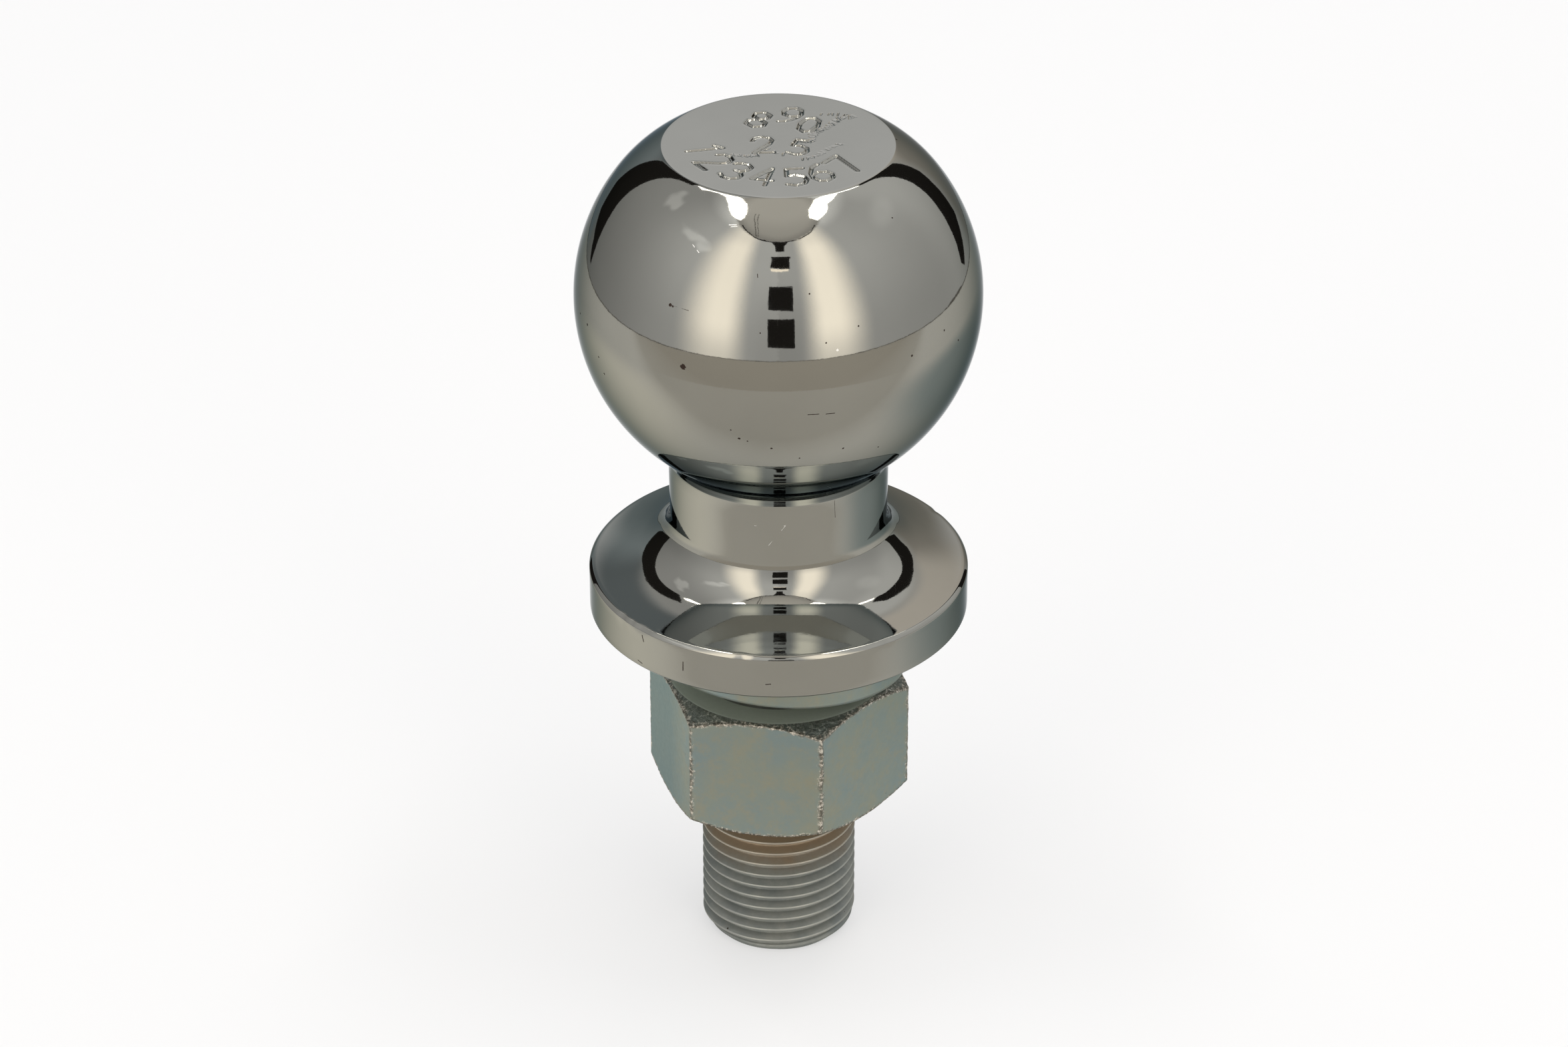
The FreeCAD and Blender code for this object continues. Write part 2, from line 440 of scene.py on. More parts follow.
def makeZinc(name, nut=None):
    # With a nut's sizes, its corners and bevels are rougher and browner than its flats.
    look = {"base": (0.262, 0.283, 0.232), "blue": (0.225, 0.275, 0.262), "tan": (0.31, 0.285, 0.20)}
    material, tree, shader, coords = newMaterial(name)
    cloud = noiseOf(tree, (-900, 500), coords, 150.0, 4.0, 0.6)
    tans = noiseOf(tree, (-900, 300), coords, 520.0, 6.0, 0.75)
    fine = noiseOf(tree, (-900, 100), coords, 1500.0, 3.0, 0.6)
    brushed = noiseOf(tree, (-900, -100), coords, 500.0, 4.0, 0.65, stretch=(6, 6, 0.7))
    patches = rampOf(tree, (-600, 500), cloud, [(0.38, look["base"]), (0.66, look["blue"])])
    yellow = rampOf(tree, (-600, 300), tans, [(0.47, 0.0), (0.66, 0.55)])
    coloured = mixColour(tree, (-300, 500), yellow, patches, look["tan"])
    pits = specksOf(tree, (-900, -300), coords, 700.0, 0.00011, 0.22)
    flecked = mixColour(tree, (-100, 500), pits, coloured, (0.06, 0.05, 0.04))
    haze = maths(tree, (-600, 0), "MULTIPLY_ADD", fine, 0.2, 0.27)
    shader.inputs["Metallic"].default_value = 1.0
    shader.inputs["Specular Tint"].default_value = linearColour(0.6, 0.63, 0.62)
    grain = bumpOf(tree, (200, -300), brushed, 0.000012)
    grain = bumpOf(tree, (300, -300), fine, 0.000006, under=grain)
    if nut:
        x, y, z, away = fromAxis(tree, (-1100, -600), coords)
        slope = math.tan(math.radians(nut["slope"]))
        drop = maths(tree, (-700, -600), "MULTIPLY_ADD", away, slope, -mm(nut["bevel"]) * slope)
        upperEdge = maths(tree, (-700, -500), "SUBTRACT", mm(nut["top"]), drop)
        upper = maths(tree, (-600, -500), "SUBTRACT", upperEdge, z)
        lowerEdge = maths(tree, (-700, -700), "ADD", drop, mm(nut["bottom"]))
        lower = maths(tree, (-600, -700), "SUBTRACT", z, lowerEdge)
        bevelled = maths(tree, (-500, -600), "MINIMUM", upper, lower)
        # Fold runs from 0 at the middle of a flat to 0.5 at a corner.
        angle = maths(tree, (-800, -800), "ARCTAN2", y, x)
        sector = maths(tree, (-700, -800), "MULTIPLY_ADD", angle, 3 / math.pi, 6 - nut["turn"] / 60)
        share = maths(tree, (-680, -800), "FRACT", sector)
        fold = maths(tree, (-600, -800), "ABSOLUTE", maths(tree, (-650, -800), "ADD", share, -0.5))
        side = mm(nut["sideLength"])
        inFromCorner = maths(tree, (-500, -800), "MULTIPLY_ADD", fold, -side, side / 2)
        inner = maths(tree, (-500, -900), "LESS_THAN", away, mm(nut["cornerStart"]))
        corner = maths(tree, (-400, -800), "ADD", inFromCorner, inner)
        turned = maths(tree, (-600, -1000), "MULTIPLY", fold, math.radians(60))
        slant = maths(tree, (-500, -1000), "COSINE", turned)
        out = maths(tree, (-450, -1000), "MULTIPLY", away, slant)
        inset = maths(tree, (-400, -1000), "SUBTRACT", mm(nut["flats"]) / 2, out)
        wander = noiseOf(tree, (-900, -1000), coords, 1300.0, 4.0, 0.7)
        wall = maths(tree, (-350, -650), "MULTIPLY", inset, 0.7)
        meeting = maths(tree, (-300, -650), "MAXIMUM", bevelled, wall)
        cornerEdge = maths(tree, (-350, -800), "MULTIPLY", corner, 0.8)
        edge = maths(tree, (-300, -700), "MINIMUM", meeting, cornerEdge)
        ragged = maths(tree, (-200, -700), "MULTIPLY_ADD", wander, -mm(1.2), edge)
        wear = maths(tree, (-150, -700), "MULTIPLY_ADD", ragged, 1500.0, 0.9)
        worn = rampOf(tree, (-100, -700), wear, [(0.1, 1.0), (0.5, 0.0)])
        nearBevel = maths(tree, (-300, -900), "LESS_THAN", bevelled, mm(0.08))
        offFace = maths(tree, (-300, -950), "GREATER_THAN", away, mm(nut["bevel"] - 0.05))
        onBevel = maths(tree, (-200, -900), "MULTIPLY", nearBevel, offFace)
        glitter = noiseOf(tree, (-900, -1200), coords, 2600.0, 4.0, 0.75)
        browns = [(0.40, (0.075, 0.065, 0.05)), (0.52, (0.25, 0.23, 0.185)), (0.62, (0.66, 0.61, 0.52))]
        brown = rampOf(tree, (-600, -1200), glitter, browns)
        greys = [(0.40, (0.085, 0.092, 0.08)), (0.55, (0.17, 0.18, 0.155)), (0.66, (0.46, 0.46, 0.40))]
        dusky = rampOf(tree, (-600, -1300), glitter, greys)
        # Painted shade: the left flats are painted darker and bluer. The face under the washer is matt, and
        # is painted paler as painted light on that shaded face.
        leftSide = maths(tree, (-500, -1100), "MULTIPLY_ADD", x, -500.0, -5.6, clamp=True)
        leftShadeShare = maths(tree, (-400, -1100), "MULTIPLY", leftSide, 0.8)
        paintedLeftShade = mixColour(tree, (-50, 400), leftShadeShare, flecked, (0.155, 0.215, 0.215))
        nearAxis = maths(tree, (-500, -1200), "LESS_THAN", away, mm(nut["bevel"] + 0.05))
        atTop = maths(tree, (-500, -1300), "COMPARE", z, mm(nut["top"]), mm(0.1))
        onTop = maths(tree, (-400, -1200), "MULTIPLY", nearAxis, atTop)
        paintedLightUnderWasher = mixColour(tree, (0, 400), onTop, paintedLeftShade, (0.55, 0.60, 0.52))
        duskyShare = maths(tree, (-100, -900), "MULTIPLY", onBevel, 0.8)
        shaded = mixColour(tree, (0, 300), duskyShare, paintedLightUnderWasher, dusky)
        flecked = mixColour(tree, (100, 300), worn, shaded, brown)
        haze = maths(tree, (100, 0), "MULTIPLY_ADD", worn, 0.06, haze)
        haze = maths(tree, (200, 0), "MULTIPLY_ADD", onTop, 0.35, haze)
        roughened = maths(tree, (0, -900), "MAXIMUM", worn, onBevel)
        rough = maths(tree, (100, -900), "MULTIPLY", glitter, roughened)
        grain = bumpOf(tree, (400, -300), rough, 0.00009, under=grain)
    tree.links.new(flecked, shader.inputs["Base Color"])
    tree.links.new(haze, shader.inputs["Roughness"])
    tree.links.new(grain, shader.inputs["Normal"])
    return material


def makeThreadSteel():
    look = {"base": (0.31, 0.315, 0.28), "dull": (0.215, 0.23, 0.215), "tan": (0.34, 0.272, 0.19)}
    material, tree, shader, coords = newMaterial("threadSteel")
    cloud = noiseOf(tree, (-900, 500), coords, 300.0, 4.0, 0.6)
    fine = noiseOf(tree, (-900, 300), coords, 1600.0, 4.0, 0.65)
    patches = rampOf(tree, (-600, 500), cloud, [(0.3, look["base"]), (0.7, look["dull"])])
    x, y, z, away = fromAxis(tree, (-1100, -100), coords)
    # The thread is browner just under the nut.
    uneven = maths(tree, (-700, 0), "MULTIPLY_ADD", cloud, 1.4, 9.5)
    high = maths(tree, (-600, 0), "MULTIPLY_ADD", z, 300.0, uneven, clamp=True)
    belowNut = maths(tree, (-600, -100), "LESS_THAN", z, mm(-18))
    under = maths(tree, (-500, 0), "MULTIPLY", high, belowNut)
    tinted = mixColour(tree, (-300, 300), under, patches, look["tan"])
    pits = specksOf(tree, (-900, -300), coords, 620.0, 0.00014, 0.2)
    rust = mixColour(tree, (-100, 300), pits, tinted, (0.05, 0.04, 0.03))
    # Crests are rubbed brighter.
    outward = maths(tree, (-700, -500), "MULTIPLY_ADD", away, 5000.0, -45.9)
    crest = rampOf(tree, (-500, -500), outward, [(0.2, 0.0), (0.7, 0.8)])
    crestShare = maths(tree, (0, -500), "MULTIPLY", crest, 0.6)
    rubbed = mixColour(tree, (100, 300), crestShare, rust, (0.40, 0.39, 0.34))
    tree.links.new(rubbed, shader.inputs["Base Color"])
    shader.inputs["Metallic"].default_value = 1.0
    shader.inputs["Specular Tint"].default_value = linearColour(0.6, 0.63, 0.62)
    dull = maths(tree, (-300, 0), "MULTIPLY_ADD", fine, 0.25, 0.48)
    haze = maths(tree, (-200, 0), "MULTIPLY_ADD", crest, -0.25, dull)
    tree.links.new(haze, shader.inputs["Roughness"])
    grain = bumpOf(tree, (200, -300), fine, 0.00001)
    sunk = maths(tree, (200, -500), "MULTIPLY", pits, -1.0)
    pitted = bumpOf(tree, (400, -300), sunk, 0.00005, under=grain)
    tree.links.new(pitted, shader.inputs["Normal"])
    return material


# Stamped numbers and chatter marks in the flat top. A figure is drawn in a box 1 wide and 2 high.
figures = {
    "0": [
        [(0.5, 2), (0.12, 1.7), (0, 1), (0.12, 0.3), (0.5, 0), (0.88, 0.3), (1, 1), (0.88, 1.7), (0.5, 2)],
    ],
    "1": [[(0.2, 1.6), (0.55, 2), (0.55, 0)]],
    "2": [[(0, 1.55), (0.15, 1.87), (0.5, 2), (0.85, 1.87), (1, 1.5), (0.85, 1.1), (0, 0), (1, 0)]],
    "3": [
        [(0, 1.7), (0.25, 1.95), (0.6, 2), (0.9, 1.8), (0.9, 1.35), (0.65, 1.08), (0.4, 1.05)],
        [(0.4, 1.05), (0.75, 0.98), (0.97, 0.7), (0.98, 0.35), (0.7, 0.05), (0.3, 0), (0, 0.25)],
    ],
    "4": [[(0.75, 0), (0.75, 2), (0, 0.6), (1, 0.6)]],
    "5": [
        [
            (0.95, 2), (0.15, 2), (0.08, 1.15), (0.5, 1.25), (0.9, 1),
            (1, 0.6), (0.85, 0.18), (0.45, 0), (0, 0.2),
        ]
    ],
    "6": [
        [(0.85, 1.95), (0.45, 1.75), (0.12, 1.2), (0, 0.65), (0.15, 0.18), (0.5, 0), (0.87, 0.18)],
        [(0.87, 0.18), (1, 0.6), (0.85, 1), (0.5, 1.15), (0.12, 0.95)],
    ],
    "7": [[(0, 2), (1, 2), (0.35, 0)]],
    "8": [
        [(0.5, 1.05), (0.12, 1.3), (0.1, 1.75), (0.5, 2), (0.9, 1.75), (0.88, 1.3), (0.5, 1.05)],
        [(0.5, 1.05), (0.05, 0.75), (0.02, 0.3), (0.5, 0), (0.98, 0.3), (0.95, 0.75), (0.5, 1.05)],
    ],
    "9": [
        [(0.15, 0.05), (0.55, 0.25), (0.88, 0.8), (1, 1.35), (0.85, 1.82), (0.5, 2), (0.13, 1.82)],
        [(0.13, 1.82), (0, 1.4), (0.15, 1), (0.5, 0.85), (0.88, 1.05)],
    ],
}
stampSettings = {
    "reach": 12.0,
    "cells": 192,
    "stroke": 0.23,
    "depth": 0.24,
    # Figure, its place in the enlarged flat, how far its top leans to the right in degrees, and height
    "figures": [
        ("1", 495, 262, 78, 4.2),
        ("2", 533, 308, 55, 4.2),
        ("3", 615, 345, 34, 4.2),
        ("4", 718, 365, 12, 4.2),
        ("5", 840, 367, -8, 4.2),
        ("6", 929, 352, -28, 4.2),
        ("7", 1025, 320, -52, 4.2),
        ("8", 700, 150, 20, 4.0),
        ("9", 820, 134, 20, 4.0),
        ("0", 890, 170, 20, 3.8),
        ("2", 715, 245, -4, 4.0),
        ("5", 855, 255, 14, 3.8),
    ],
    # Trails of a chattering tool: the way in the enlarged flat, the ticks' length and their spacing
    "trails": [
        ([(594, 282), (654, 287), (701, 285)], 0.5, 0.28),
        ([(708, 257), (751, 265), (770, 278), (807, 281)], 0.55, 0.7),
        (
            [
                (1066, 135), (1036, 141), (1010, 141), (984, 159),
                (958, 180), (929, 190), (906, 204), (900, 235),
            ],
            0.8,
            0.34,
        ),
        ([(931, 129), (990, 129), (1049, 134)], 0.5, 0.6),
        ([(900, 235), (850, 230), (824, 240)], 0.5, 0.3),
        ([(1009, 240), (960, 262), (910, 290), (864, 300)], 0.6, 0.42),
    ],
}


def onFlat(x, y, top):
    ray = sightLine("flat", x, y)
    spot = photoView["place"] + ray * (mm(top) - photoView["place"].z) / ray.z
    return Vector((spot.x, spot.y)) * 1000


def stampStrokes(settings, top):
    # Every stroke is two ends, half its width and its depth, in millimetres.
    strokes = []
    for figure, x, y, lean, height in settings["figures"]:
        turn = Matrix.Rotation(math.radians(-lean), 2)
        for way in figures[figure]:
            spots = []
            for across, up in way:
                local = Vector(((across - 0.5) * height * 0.56, (up / 2 - 0.5) * height))
                spots.append(turn @ local + onFlat(x, y, top))
            for first, last in zip(spots, spots[1:]):
                depth = settings["depth"] * rng.uniform(0.75, 1.15)
                strokes.append((first, last, settings["stroke"], depth))
    for way, length, spacing in settings["trails"]:
        spots = [onFlat(x, y, top) for x, y in way]
        for first, last in zip(spots, spots[1:]):
            run = last - first
            side = Vector((-run.y, run.x)).normalized()
            for count in range(max(1, round(run.length / spacing))):
                middle = first + run * (count + rng.random()) * spacing / max(run.length, spacing)
                tilt = side + run.normalized() * rng.uniform(-0.7, 0.7)
                half = tilt.normalized() * length * rng.uniform(0.3, 0.6)
                strokes.append((middle - half, middle + half, 0.11, rng.uniform(0.05, 0.12)))
    return strokes


def strokeCells(strokes):
    # Strokes by the square millimetre that they touch
    cells = {}
    for stroke in strokes:
        first, last = stroke[:2]
        lows = [math.floor(min(pair) - 0.5) for pair in zip(first, last)]
        highs = [math.floor(max(pair) + 0.5) for pair in zip(first, last)]
        for column in range(lows[0], highs[0] + 1):
            for row in range(lows[1], highs[1] + 1):
                cells.setdefault((column, row), []).append(stroke)
    return cells


def strokeHeight(cells, spot):
    height = 0
    for first, last, half, depth in cells.get((math.floor(spot.x), math.floor(spot.y)), ()):
        run = last - first
        share = min(1, max(0, (spot - first).dot(run) / max(1e-9, run.length_squared)))
        apart = (spot - first - run * share).length / half
        if apart < 1:
            height = min(height, -depth * (1 - apart**3))
        elif apart < 1.8 and height >= 0:
            height = max(height, depth * 0.16 * (1.8 - apart) * (apart - 1) * 6)
    return height


def addStampedDisc(bm, top, settings):
    reach = settings["reach"]
    cells = strokeCells(stampStrokes(settings, top))
    count = settings["cells"]
    grid = bmesh.ops.create_grid(bm, x_segments=count, y_segments=count, size=mm(reach))["verts"]
    for vert in grid:
        spot = Vector((vert.co.x, vert.co.y)) * 1000
        far = max(abs(spot.x), abs(spot.y))
        if far > 0:
            spot *= far / spot.length
        height = strokeHeight(cells, spot)
        vert.co = (mm(spot.x), mm(spot.y), mm(top + height))


# Ball, neck and flange, spun from one outline
ballSettings = {
    "radius": 23.8125,
    "centre": 41.45,
    "flat": 13.45,
    "sink": 0.41,
    "shoulder": 18.0,
    "neck": 12.9,
    "root": 5.0,
    "flange": 22.625,
    "rim": 5.6,
    "lip": 0.4,
    "hollow": 4.7,
    # The flange's top in three arcs: slopes where they meet, from the neck out, and the middle radius
    "slopes": (47.0, 26.0, 12.0),
    "middle": 9.0,
    "under": 0.3,
    # Turning marks in the hollow under the ball: between these heights, inside this radius
    "turnedFrom": 17.0,
    "turnedTo": 24.0,
    "turnedInside": 16.5,
    "turnedDepth": 0.012,
    # Nicks in the rim: place, size and depth
    "nicks": [
        (-18.4, -13.1, 5.4, 0.9, 0.12),
        (-17.3, -14.5, 5.5, 0.8, 0.10),
        (-16.4, -15.6, 5.3, 0.7, 0.14),
        (-15.6, -16.3, 5.5, 0.9, 0.10),
        (-4.2, -22.2, 5.3, 0.7, 0.08),
        (12.8, -18.6, 5.4, 0.7, 0.08),
        (19.3, 11.7, 5.4, 0.9, 0.12),
        (-9.0, 20.7, 0.2, 0.9, 0.12),
    ],
}


def shoulderOf(settings):
    # The shoulder is an arc from the flat's sharp edge, tangent to the ball. Turns count from up.
    radius = settings["radius"]
    shoulder = settings["shoulder"]
    edgeReach = radius - settings["sink"]
    offset = radius - shoulder
    closing = (edgeReach**2 + offset**2 - shoulder**2) / (2 * edgeReach * offset)
    joinTurn = math.asin(settings["flat"] / edgeReach) + math.acos(closing)
    return joinTurn, offset * math.sin(joinTurn), settings["centre"] + offset * math.cos(joinTurn)


def shapeBall(settings):
    bm = bmesh.new()
    radius = settings["radius"]
    centre = settings["centre"]
    flat = settings["flat"]
    neck = settings["neck"]
    flange = settings["flange"]
    rim = settings["rim"]
    lip = settings["lip"]
    hollow = settings["hollow"]
    # The flange's top is hollow all the way, tightest at the neck and nearly level at the rim.
    steep, mild, shallow = [math.radians(angle) for angle in settings["slopes"]]
    middle = settings["middle"]
    middleStart = neck + hollow * (1 - math.sin(steep))
    sweepStart = middleStart + middle * (math.sin(steep) - math.sin(mild))
    sweep = (flange - lip - sweepStart) / (math.sin(mild) - math.sin(shallow))
    top = centre + math.sqrt((radius - settings["sink"]) ** 2 - flat**2)
    joinTurn, shoulderRadius, shoulderHeight = shoulderOf(settings)
    edgeTurn = math.atan2(flat - shoulderRadius, top - shoulderHeight)
    reach = neck + settings["root"]
    drop = math.sqrt((radius + settings["root"]) ** 2 - reach**2)
    rootTurn = math.pi / 2 + math.atan2(drop, reach)
    sweepHeight = rim + sweep * math.cos(shallow)
    middleHeight = sweepHeight - (sweep - middle) * math.cos(mild)
    hollowHeight = middleHeight - (middle - hollow) * math.cos(steep)
    start = stampSettings["reach"] + 0.25
    pen = startLine(bm, start, top)
    pen = lineTo(bm, pen, flat, top, 3)
    pen = arcTo(bm, pen, shoulderRadius, shoulderHeight, math.degrees(joinTurn - edgeTurn), 22)
    pen = arcTo(bm, pen, 0, centre, math.degrees(rootTurn - joinTurn), 84)
    pen = arcTo(bm, pen, reach, centre - drop, math.degrees(rootTurn) - 180, 22)
    pen = lineTo(bm, pen, neck, hollowHeight, 6)
    turns = settings["slopes"]
    middleRadius = middleStart + middle * math.sin(steep)
    sweepRadius = sweepStart + sweep * math.sin(mild)
    pen = arcTo(bm, pen, neck + hollow, hollowHeight, turns[0] - 90, 16)
    pen = arcTo(bm, pen, middleRadius, middleHeight, turns[1] - turns[0], 10)
    pen = arcTo(bm, pen, sweepRadius, sweepHeight, turns[2] - turns[1], 12)
    pen = lineTo(bm, pen, flange, rim - lip)
    pen = lineTo(bm, pen, flange, settings["under"], 6)
    pen = lineTo(bm, pen, flange - settings["under"], 0)
    pen = lineTo(bm, pen, 0, 0, 8)
    spinRound(bm, 256)
    addStampedDisc(bm, top, stampSettings)
    loops = [edge for edge in bm.edges if edge.is_boundary and edge.verts[0].co.z > mm(top - 1)]
    bmesh.ops.bridge_loops(bm, edges=loops)
    roundRing(bm, flat, top, 0.06)
    roundRing(bm, flange - lip, rim, 0.12)
    roundRing(bm, flange, rim - lip, 0.12)
    roundRing(bm, flange, settings["under"], 0.08)
    roundRing(bm, flange - settings["under"], 0, 0.08)
    low = settings["turnedFrom"]
    high = settings["turnedTo"]
    for vert in bm.verts:
        radius = math.hypot(vert.co.x, vert.co.y) * 1000
        height = vert.co.z * 1000
        if radius < settings["turnedInside"] and low < height < high:
            fade = smooth(height, low, low + 1.5) * (1 - smooth(height, high - 2, high))
            around = math.atan2(vert.co.y, vert.co.x)
            drift = noise.noise((math.cos(around) * 3, math.sin(around) * 3, 0))
            wave = math.sin(height * 7.0 + 0.6 * drift)
            setRadius(vert, mm(radius + settings["turnedDepth"] * wave * fade))
    for x, y, z, size, depth in settings["nicks"]:
        for vert in bm.verts:
            away = (vert.co * 1000 - Vector((x, y, z))).length / size
            if away < 1:
                vert.co -= Vector((x, y, 8)).normalized() * mm(depth) * (1 - away * away)
    return bm


ballShape = shapeBall(ballSettings)
ballSurface = BVHTree.FromBMesh(ballShape)
chrome = makeChrome(ballSurface, chromeMarks)
finishPiece("ballAndFlange", ballShape, chrome, "stud", ["ball_stud"])

# Threaded shank
threadSettings = {
    "crest": 9.35,
    "root": 8.38,
    "pitch": 1.5875,
    "steps": 96,
    "low": -45.35,
    "high": 0.8,
    "endRadius": 8.15,
    "runOutStart": -3.2,
    "runOutLength": 1.6,
}


def threadOutline():
    # Height within the pitch, and how far the thread stands up from root to crest
    return [
        (0.0, 0.0),
        (0.05, 0.0),
        (0.085, 0.03),
        (0.13, 0.13),
        (0.26, 0.5),
        (0.40, 0.90),
        (0.43, 0.975),
        (0.46, 1.0),
        (0.50, 1.0),
        (0.54, 1.0),
        (0.57, 0.975),
        (0.60, 0.90),
        (0.74, 0.5),
        (0.87, 0.13),
        (0.915, 0.03),
        (0.95, 0.0),
        (1.0, 0.0),
    ]


def spinThread(bm, low, turns, settings, radiusAt):
    pitch = settings["pitch"]
    verts = [
        bm.verts.new((mm(radiusAt(stand)), 0, mm(low + share * pitch)))
        for share, stand in threadOutline()
    ]
    edges = [bm.edges.new(pair) for pair in zip(verts, verts[1:])]
    bmesh.ops.spin(
        bm,
        geom=verts + edges,
        cent=(0, 0, 0),
        axis=(0, 0, 1),
        dvec=(0, 0, mm(pitch / settings["steps"])),
        angle=2 * math.pi,
        steps=settings["steps"],
    )
    repeat(bm, turns, Matrix.Translation((0, 0, mm(pitch))))
    bmesh.ops.remove_doubles(bm, verts=bm.verts[:], dist=2e-6)


def cutAt(bm, height, keepAbove):
    cut = bmesh.ops.bisect_plane(
        bm,
        geom=bm.verts[:] + bm.edges[:] + bm.faces[:],
        plane_co=(0, 0, mm(height)),
        plane_no=(0, 0, -1 if keepAbove else 1),
        clear_outer=True,
    )
    return [item for item in cut["geom_cut"] if isinstance(item, bmesh.types.BMEdge)]


def makeShank(settings):
    bm = bmesh.new()
    depth = settings["crest"] - settings["root"]
    turns = math.ceil((settings["high"] - settings["low"]) / settings["pitch"]) + 3
    low = settings["low"] - 2 * settings["pitch"]
    spinThread(bm, low, turns, settings, lambda stand: settings["root"] + depth * stand)
    for vert in bm.verts:
        radius = math.hypot(vert.co.x, vert.co.y) * 1000
        height = vert.co.z * 1000
        filled = min(1, max(0, (height - settings["runOutStart"]) / settings["runOutLength"]))
        radius = max(radius, settings["root"] + depth * filled)
        radius = min(radius, settings["endRadius"] + max(0, height - settings["low"]))
        setRadius(vert, mm(radius))
    lowEdges = cutAt(bm, settings["low"], True)
    bmesh.ops.edgeloop_fill(bm, edges=lowEdges)
    highEdges = cutAt(bm, settings["high"], False)
    bmesh.ops.edgeloop_fill(bm, edges=highEdges)
    finishPiece("threadedShank", bm, makeThreadSteel(), "stud")


makeShank(threadSettings)

# Hex nut
nutSettings = {
    "flats": 27.75,
    "top": -9.25,
    "bottom": -25.2,
    "corner": 0.4,
    "bevel": 13.55,
    "slope": 30.0,
    "mouth": 10.3,
    "turn": -11.3,
    "perFlat": 60,
    "perCorner": 10,
    # Wear: a side's length, and where a corner starts as a distance from the axis
    "sideLength": 16.8,
    "cornerStart": 15.2,
    "roughCorner": (15.45, 15.85),
    # Its thread stands clear of the shank's crests, and is cut back to this radius.
    "threadPlay": 0.09,
    "threadInner": 8.65,
    "threadTurns": 15,
}


def hexOutline(settings):
    # Points round a hexagon with rounded corners, with more of them where it turns
    half = settings["flats"] / 2
    corner = settings["corner"]
    side = (half - corner) * math.tan(math.radians(30))
    spots = []
    for sideIndex in range(6):
        facing = math.radians(settings["turn"] + 30 + 60 * sideIndex)
        across = Vector((math.cos(facing), math.sin(facing)))
        along = Vector((-across.y, across.x))
        for count in range(settings["perFlat"]):
            share = -1 + 2 * count / settings["perFlat"]
            spots.append(across * half + along * side * share)
        middle = across * (half - corner) + along * side
        for count in range(settings["perCorner"]):
            angle = facing + math.radians(60) * count / settings["perCorner"]
            spots.append(middle + corner * Vector((math.cos(angle), math.sin(angle))))
    return spots


def makeNut(settings):
    bm = bmesh.new()
    outline = hexOutline(settings)
    top = settings["top"]
    bottom = settings["bottom"]
    # Each ring is named by where it lies: (part, share) from the mouth over the edge and down
    rings = [("face", share / 8) for share in range(9)]
    rings += [("bevel", share / 12) for share in range(1, 13)]
    rings += [("wall", share / 56) for share in range(1, 56)]
    rings += [("under", share / 12) for share in range(0, 13)]
    rings += [("base", share / 8) for share in range(1, 9)]
    pen = startLine(bm, settings["mouth"], top)
    for count in range(1, len(rings)):
        pen = lineTo(bm, pen, settings["mouth"], top - count)
    spinRound(bm, len(outline), 6)
    slope = math.tan(math.radians(settings["slope"]))
    for vert in bm.verts:
        ringIndex = round((mm(top) - vert.co.z) / mm(1))
        turned = math.atan2(vert.co.y, vert.co.x) / (2 * math.pi) * len(outline)
        spot = outline[round(turned) % len(outline)]
        reach = spot.length
        heading = spot / reach
        part, share = rings[ringIndex]
        drop = (reach - settings["bevel"]) * slope
        if part == "face":
            radius, height = settings["mouth"] + (settings["bevel"] - settings["mouth"]) * share, top
        elif part == "bevel":
            radius, height = settings["bevel"] + (reach - settings["bevel"]) * share, top - drop * share
        elif part == "wall":
            radius, height = reach, (top - drop) + (bottom - top + 2 * drop) * share
        elif part == "under":
            radius, height = reach - (reach - settings["bevel"]) * share, bottom + drop * (1 - share)
        else:
            radius, height = settings["bevel"] - (settings["bevel"] - settings["mouth"]) * share, bottom
        spot = Vector((heading.x * radius, heading.y * radius, height))
        rough = 0.0
        if part in ("bevel", "under"):
            rough = smooth(radius, settings["bevel"], settings["bevel"] + 0.5)
        elif part == "wall":
            nearCorner = smooth(reach, *settings["roughCorner"])
            rough = max(1 - min(share, 1 - share) * 40, nearCorner * 0.8, 0.06)
        shift = noise.noise(spot * 1.7) * 0.05 + noise.noise(spot * 4.3) * 0.035
        spot += Vector((heading.x, heading.y, 0)) * shift * rough
        spot.z += noise.noise(spot * 3.1 + Vector((7, 3, 1))) * 0.05 * rough
        vert.co = spot / 1000
    thread = bmesh.new()
    crest = threadSettings["crest"] + settings["threadPlay"]
    depth = threadSettings["crest"] - threadSettings["root"]
    low = threadSettings["low"] + 10 * threadSettings["pitch"]

    def threadRadius(stand):
        return max(settings["threadInner"], crest - depth * (1 - stand))

    spinThread(thread, low, settings["threadTurns"], threadSettings, threadRadius)
    for vert in thread.verts:
        radius = math.hypot(vert.co.x, vert.co.y) * 1000
        height = vert.co.z * 1000
        gap = min(top - height, height - bottom)
        setRadius(vert, mm(max(radius, settings["mouth"] - max(0, gap))))
    cutAt(thread, bottom, True)
    cutAt(thread, top, False)
    holder = bpy.data.meshes.new("nutThreadPart")
    thread.to_mesh(holder)
    thread.free()
    bm.from_mesh(holder)
    bpy.data.meshes.remove(holder)
    finishPiece("hexNut", bm, makeZinc("nutZinc", settings), "nut", ["hex_nut"])


makeNut(nutSettings)

# Spring washer
washerSettings = {
    "inner": 9.9,
    "width": 5.85,
    "thickness": 3.4,
    "corner": 0.25,
    "gap": 1.6,
    "slant": 25.0,
    "split": 180.0,
    "lean": 6.3,
    "high": -140.0,
    "middle": -4.932,
}


